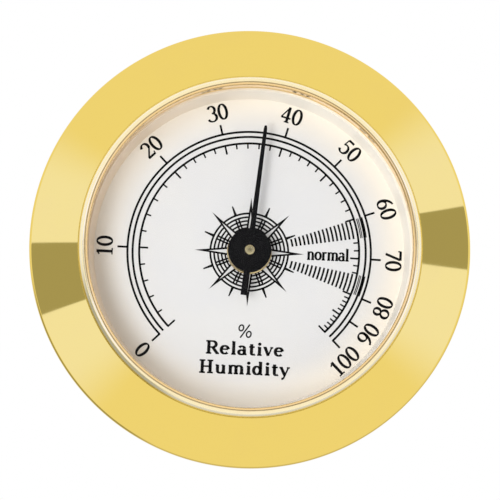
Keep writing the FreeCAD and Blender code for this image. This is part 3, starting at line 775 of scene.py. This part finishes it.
def build_bush():
    """Brass bush: a domed flange on the dial, a plain barrel behind it."""
    bore = 0.55
    outline = rounded([
        (bore, bush_low[1], 0.05), (bush_high[0], bush_low[1], 0.14), (bush_high[0], DIAL_FRONT, 0),
        (BUSH_HOLE_R, DIAL_FRONT, 0), (BUSH_HOLE_R, bush_high[1], 0.1), (bore, bush_high[1], 0),
    ])
    stand_for(lathe("hub_bush", outline, BRASS, steps=96), "case", "turned_brass", "front_bush")


def vent_cutter():
    """Eight round prisms through the case's floor, evenly spaced from the top."""
    vents, sides = 8, 40
    vent_r, vent_circle = 1.1, 10.0
    inside, outside = 1.5, 1.0
    around = np.linspace(0, 2 * np.pi, sides, endpoint=False)
    hole = vent_r * np.stack([np.cos(around), np.sin(around)], axis=1)
    solids = Solids()
    for vent in range(vents):
        middle = polar(vent_circle, 90 + 360 * vent / vents)
        solids.prism(middle + hole, CASE_REAR - inside, CASE_REAR + outside)
    return new_piece("vent_cutter", solids.verts, solids.faces, DRAWN_GOLD)


def build_case():
    """Drawn cup with a flat flange; a driver hole and eight vents pierce its floor."""
    seat_r = RIM_R - 0.45
    access = 2.2
    inner_r = CASE_R - CASE_SHEET
    outline = rounded([
        (access, CASE_REAR - CASE_SHEET, 0), (inner_r, CASE_REAR - CASE_SHEET, 0),
        (inner_r, -CASE_SHEET, 0.1), (seat_r, -CASE_SHEET, 0), (seat_r, 0, 0.05),
        (CASE_R, 0, 0), (CASE_R, CASE_REAR, 0.9), (access, CASE_REAR, 0.08),
    ], per_quarter=10)
    cup = lathe("case_shell", outline, DRAWN_GOLD)
    cutter = vent_cutter()
    cut = cup.modifiers.new("vents", "BOOLEAN")
    cut.operation = "DIFFERENCE"
    cut.solver = "EXACT"
    cut.object = cutter
    graph = bpy.context.evaluated_depsgraph_get()
    pierced = bpy.data.meshes.new_from_object(cup.evaluated_get(graph))
    cup.modifiers.clear()
    cup.data = pierced
    pierced.set_sharp_from_angle(angle=math.radians(SHARP))
    bpy.data.objects.remove(cutter)
    stand_for(cup, "case", "drawn_case", "case_cup")


# ----------------------------------------------------------------------- pointer
def blade_section(name, stations, ridge):
    """Creased strip along +Z: each station is (height, half width, crest height).

    The section is a five-sided roof: a shoulder, the ridge line in front that runs
    `ridge` of the half width to the left, the other shoulder, and two feet behind.
    """
    height, half, crest = (column[:, None] for column in np.transpose(stations))
    flat = np.zeros_like(crest)
    shoulder = flat + POINTER_THICKNESS * 0.55
    raised = np.hstack([shoulder, crest, shoulder, flat, flat])
    grid = points(half * (-1, -ridge, 1, 1, -1), POINTER_REAR - raised, height)
    return new_piece(name, grid.reshape(-1, 3), tube_faces(len(stations), 5), BLACK, sharp=12)


def build_pointer():
    """Hub disc, creased blade and square tail, turned to the reading."""
    full = POINTER_THICKNESS
    front = POINTER_REAR - full
    hub = lathe("pointer_hub", rounded([
        (ARBOR_R, front, 0.02), (HUB_R, front, 0.05),
        (HUB_R, POINTER_REAR, 0.02), (ARBOR_R, POINTER_REAR, 0),
    ]), BLACK, steps=128)
    root = HUB_R - 0.25
    blade = blade_section("pointer_blade", [
        (root, 0.28, full * 0.98), (root + 0.4, 0.28, full), (5.2, 0.255, full), (9.0, 0.22, full * 0.9),
        (POINTER_TIP - 0.35, 0.185, full * 0.85), (POINTER_TIP, 0.12, full * 0.6),
    ], ridge=0.62)
    tail = blade_section("pointer_tail", [
        (-4.7, 0.345, full * 0.95), (-4.62, 0.345, full), (-3.4, 0.335, full), (-root, 0.33, full * 0.98),
    ], ridge=-0.55)
    lean = Matrix.Rotation(math.radians(90 - READING_ANGLE), 4, "Y")
    for piece in (hub, blade, tail):
        piece.data.transform(lean)
        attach(piece, "pointer")
    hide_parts("pointer")


def build_arbor():
    """Stepped arbor: a bevelled boss in front, a long shank and a thin pivot."""
    front, rear = arbor_low[1], arbor_high[1]
    step = hub_low[1] - 0.2
    shank, pivot = 0.3, 0.2
    outline = [(0, front), (0.34, front), (0.41, front + 0.02), (ARBOR_R, front + 0.09),
               (ARBOR_R, front + 0.2), (ARBOR_R, step), (shank, step), (shank, rear - 0.1),
               (pivot, rear), (0, rear)]
    stand_for(lathe("arbor_pin", outline, ARBOR, steps=64), "pointer", "arbor_steel", "arbor")


# ----------------------------------------------------------------- dial's print
MARK_ANGLES = {0: 225, 10: 180, 20: 135, 30: 105, 40: 75, 50: 47.6, 60: 20, 70: -1.1, 80: -20.4,
               90: -32.5, 100: -44.5}
OUTER_ARC = 12.56
MIDDLE_ARC = 12.03
INNER_ARC = 11.35
# The comfort bands run between these angles on both sides of the reader's right.
BAND_NEAR = 9.6
BAND_FAR = 19.8


def print_scale():
    """Three arcs, a long mark each 10 % on both sides and a short one each 2 %."""
    ink = Ink()
    overlap = 0.08
    for radius in (OUTER_ARC, MIDDLE_ARC, INNER_ARC):
        ink.arc(radius, MARK_ANGLES[0], MARK_ANGLES[100], 0.22)
    for reading, angle in MARK_ANGLES.items():
        ink.line(polar(OUTER_ARC - overlap, angle), polar(13.6, angle), 0.21)
        ink.line(polar(INNER_ARC + overlap, angle), polar(10.43, angle), 0.19)
        if reading < 100:
            step = (MARK_ANGLES[reading + 10] - angle) / 5
            for minor in range(1, 5):
                spot = angle + step * minor
                if not BAND_NEAR < abs(spot) < BAND_FAR:
                    ink.line(polar(INNER_ARC + overlap, spot), polar(10.8, spot), 0.16)
    return ink.piece("scale_print")


def print_numerals():
    """Numbers of the tens; the last three stand on the outer circle, tops inward."""
    ink = Ink()
    for reading, angle in MARK_ANGLES.items():
        upright = angle if reading < 80 else angle + 180
        middle = angle - 2.2 if reading == 100 else angle
        lettering(ink, str(reading), polar(14.93, middle), upright, 1.7, thin=0.085)
    return ink.piece("numeral_print")


def print_comfort_bands():
    """Two hatched sectors beside the word: short arcs, evenly spaced outwards."""
    ink = Ink()
    innermost, spacing, count = 4.51, 0.4248, 16
    hatching = [(innermost + spacing * index, 0.2) for index in range(count)]
    border = [(11.62, 0.1), (11.77, 0.1), (MIDDLE_ARC + 0.05, 0.34)]
    for side in (1, -1):
        for radius, width in hatching + border:
            ink.arc(radius, side * BAND_NEAR, side * BAND_FAR, width, step=1.5)
    return ink.piece("comfort_print")


def print_words():
    """Generic words: the quantity below the rose, the middle range beside it."""
    ink = Ink()
    heavy = {"thick": 0.25, "thin": 0.13}
    lettering(ink, "%", (-0.15, -8.2), 90, 1.38, thin=0.09, slant=0.12, breadth=1.3)
    lettering(ink, "Relative", (0.0, -10.0), 90, 1.32, spacing=0.08, breadth=1.27, **heavy)
    lettering(ink, "Humidity", (0.0, -12.0), 90, 1.32, spacing=0.05, breadth=1.34, **heavy)
    lettering(ink, "normal", (8.1, 0.1), 90, 1.26, thick=0.2, thin=0.11, spacing=-0.05, breadth=0.99)
    return ink.piece("word_print")


def print_rose():
    """Plain eight-pointed star over rings, with short ticks between its points.

    Each point of the star is two plates, left and right, that meet beyond its
    hollow core. The rings stop short of the points, whose half width falls
    straight from `half_root` to nothing at the tip.
    """
    ink = Ink()
    tip, root, core_tip = 5.65, 1.95, 4.2
    half_root, half_core = 0.46, 0.25
    rings = ((4.02, 0.2), (3.63, 0.19), (3.24, 0.18), (2.86, 0.18), (2.50, 0.17))
    pitch = 45.0
    half_point = [(root, half_core), (core_tip, 0.0), (tip, 0.0), (root, half_root)]
    for point in range(8):
        middle = pitch * point
        for side in (1, -1):
            ink.plate(turned(half_point[::side] * np.array([1, side]), middle))
        for radius, width in rings:
            half_width = half_root * (tip - radius) / (tip - root)
            gap = math.degrees(half_width / radius) * 0.9
            ink.arc(radius, middle + gap, middle + pitch - gap, width, step=2.5)
        between = middle + pitch / 2
        ink.line(polar(4.0, between), polar(5.05, between), 0.30, 0.13)
        for side in (-1, 1):
            ink.line(polar(2.3, between + side * 3.6), polar(3.62, between + side * 2.5), 0.18)
    return ink.piece("rose_print")


# ---------------------------------------------------------------- light and view
VIEW_AZIMUTH = -1.2
VIEW_ELEVATION = -7.5
VIEW_ROLL = 2.3
VIEW_DISTANCE = 300.0
VIEW_WIDTH = 51.02
VIEW_TARGET = (0.0, -0.3, -0.22)
SENSOR = 36.0

# Each lamp's watts and place.
KEYS = {"key": (0.74, (-210.0, -420.0, 20.0)), "low_key": (1.0, (-150.0, -420.0, -160.0))}
LAMP_WIDTH = 200.0
FLOOR_LEVEL = -300.0
FLOOR_REACH = 1500.0
WHITE = (1.0, 1.0, 1.0)


def sight_line(mirrored=False):
    """Unit vector from the gauge to the camera, or the one that a flat face mirrors it to."""
    turn, rise = math.radians(VIEW_AZIMUTH), math.radians(VIEW_ELEVATION)
    sign = -1 if mirrored else 1
    return Vector((sign * math.sin(turn) * math.cos(rise), -math.cos(turn) * math.cos(rise),
                   sign * math.sin(rise)))


def build_camera():
    """Long lens a little below the axis and left of it, rolled so the print leans right."""
    lens = bpy.data.cameras.new("camera")
    camera = bpy.data.objects.new("camera", lens)
    bpy.context.scene.collection.objects.link(camera)
    target = Vector(VIEW_TARGET) * MM
    camera.location = target + sight_line() * VIEW_DISTANCE * MM
    aim = (target - camera.location).to_track_quat("-Z", "Y").to_matrix().to_4x4()
    roll = Matrix.Rotation(math.radians(VIEW_ROLL), 4, "Z")
    camera.matrix_world = Matrix.Translation(camera.location) @ aim @ roll
    lens.sensor_width = SENSOR
    lens.lens = SENSOR * VIEW_DISTANCE / VIEW_WIDTH
    lens.clip_start = 0.005
    bpy.context.scene.camera = camera


def build_lights():
    """Two soft keys from the left, level with the gauge and below it."""
    for name, (watts, place) in KEYS.items():
        light = bpy.data.lights.new(name, "AREA")
        light.shape = "DISK"
        light.size = LAMP_WIDTH * MM
        light.energy = watts
        lamp = bpy.data.objects.new(name, light)
        lamp.location = Vector(place) * MM
        lamp.rotation_euler = (-lamp.location).to_track_quat("-Z", "Y").to_euler()
        lamp.visible_glossy = False
        bpy.context.scene.collection.objects.link(lamp)


def build_floor():
    """Plain pale floor well under the gauge."""
    material, shader = new_material("floor")
    shader.finish(shader.principled(Base_Color=(0.93, 0.93, 0.92), Roughness=0.8))
    corners = FLOOR_REACH * np.array([(-1, -1), (1, -1), (1, 1), (-1, 1)])
    verts = points(corners[:, 0], corners[:, 1], FLOOR_LEVEL)
    floor = new_piece("floor", verts, [(0, 1, 2, 3)], material)
    floor.visible_glossy = False


def build_world():
    """White tent round the gauge, with dark flags at both sides of its mouth.

    Directions are read as an angle round the line that a flat face mirrors towards
    (tent_axis) and an angle away from it. The flags are sectors of the first angle,
    so the conical flange shows them as wedges with straight radial edges. Only
    mirrored rays meet the tent: matt surfaces get an even light, and the camera
    looks past the gauge at plain white.
    """
    world = bpy.data.worlds.new("tent")
    bpy.context.scene.world = world
    world.use_nodes = True
    shader = Shader(world.node_tree)
    direction = shader.add("ShaderNodeTexCoord", output="Generated")
    tent_axis = sight_line(mirrored=True)
    tent_right = Vector((-tent_axis.y, tent_axis.x, 0)).normalized()

    def along(axis):
        """How far the direction points along an axis."""
        return shader.add("ShaderNodeVectorMath", {"operation": "DOT_PRODUCT"},
                          {0: direction, 1: tuple(axis)}, output="Value")

    ahead, right, up = along(tent_axis), along(tent_right), along(tent_axis.cross(tent_right))
    angle = up.angle_from(right) * (180 / math.pi)
    away = ahead.arccos() * (180 / math.pi)

    def sector(first, last, soft=0.25):
        """One between two angles of the rolled view, which may cross 180 degrees."""
        middle, half = (first + last) / 2 + VIEW_ROLL, (last - first) / 2
        off = ((angle - middle) * (math.pi / 180)).cos()
        return off.fade(math.cos(math.radians(half + soft)), math.cos(math.radians(half - soft)))

    in_front = ahead.over(0.25)
    on_cone = away.fade(20, 22) * away.fade(35, 38, 1.0, 0.0)
    flags = (sector(-3.8, 13.1) + sector(177.0, 196.6)) * on_cone * in_front
    lights = (sector(-32, 36, 9) + sector(152, 220, 9)).at_most(1.0) * on_cone * in_front
    mouth = away.fade(8, 14, 1.0, 0.0)
    low_flag = sector(187, 238, 6) * away.fade(50, 60) * away.fade(110, 125, 1.0, 0.0)
    height = shader.parts(direction)[2]
    behind = shader.mix(height.fade(-0.9, 0.5), (0.72, 0.71, 0.69), WHITE)
    tent = shader.mix(in_front, behind, WHITE)
    lit = shader.mix(lights, tent, (1.05, 1.155, 1.95))
    flagged = shader.mix(flags, lit, (0.44, 0.455, 0.475))
    shaded = shader.mix(low_flag, flagged, (0.42, 0.42, 0.38))
    mirrored = shader.mix(mouth, shaded, (0.30, 0.30, 0.30))
    seen_directly = shader.add("ShaderNodeLightPath", output="Is Camera Ray")
    seen_in_gloss = shader.add("ShaderNodeLightPath", output="Is Glossy Ray")
    around = shader.mix(seen_in_gloss, (0.695, 0.695, 0.715), mirrored)
    backdrop = shader.mix(seen_directly, around, WHITE)
    surface = shader.add("ShaderNodeBackground", None, {"Color": backdrop, "Strength": 1.0})
    shader.finish(surface, "ShaderNodeOutputWorld")


# ----------------------------------------------------------------------- assembly
dress_frame()
build_bezel()
build_bead()
build_glass()
build_spacer()
build_dial()
build_bush()
build_case()
build_pointer()
build_arbor()
print_scale()
print_numerals()
print_comfort_bands()
print_words()
print_rose()
build_camera()
build_lights()
build_floor()
build_world()
bpy.context.scene.view_settings.view_transform = "Standard"
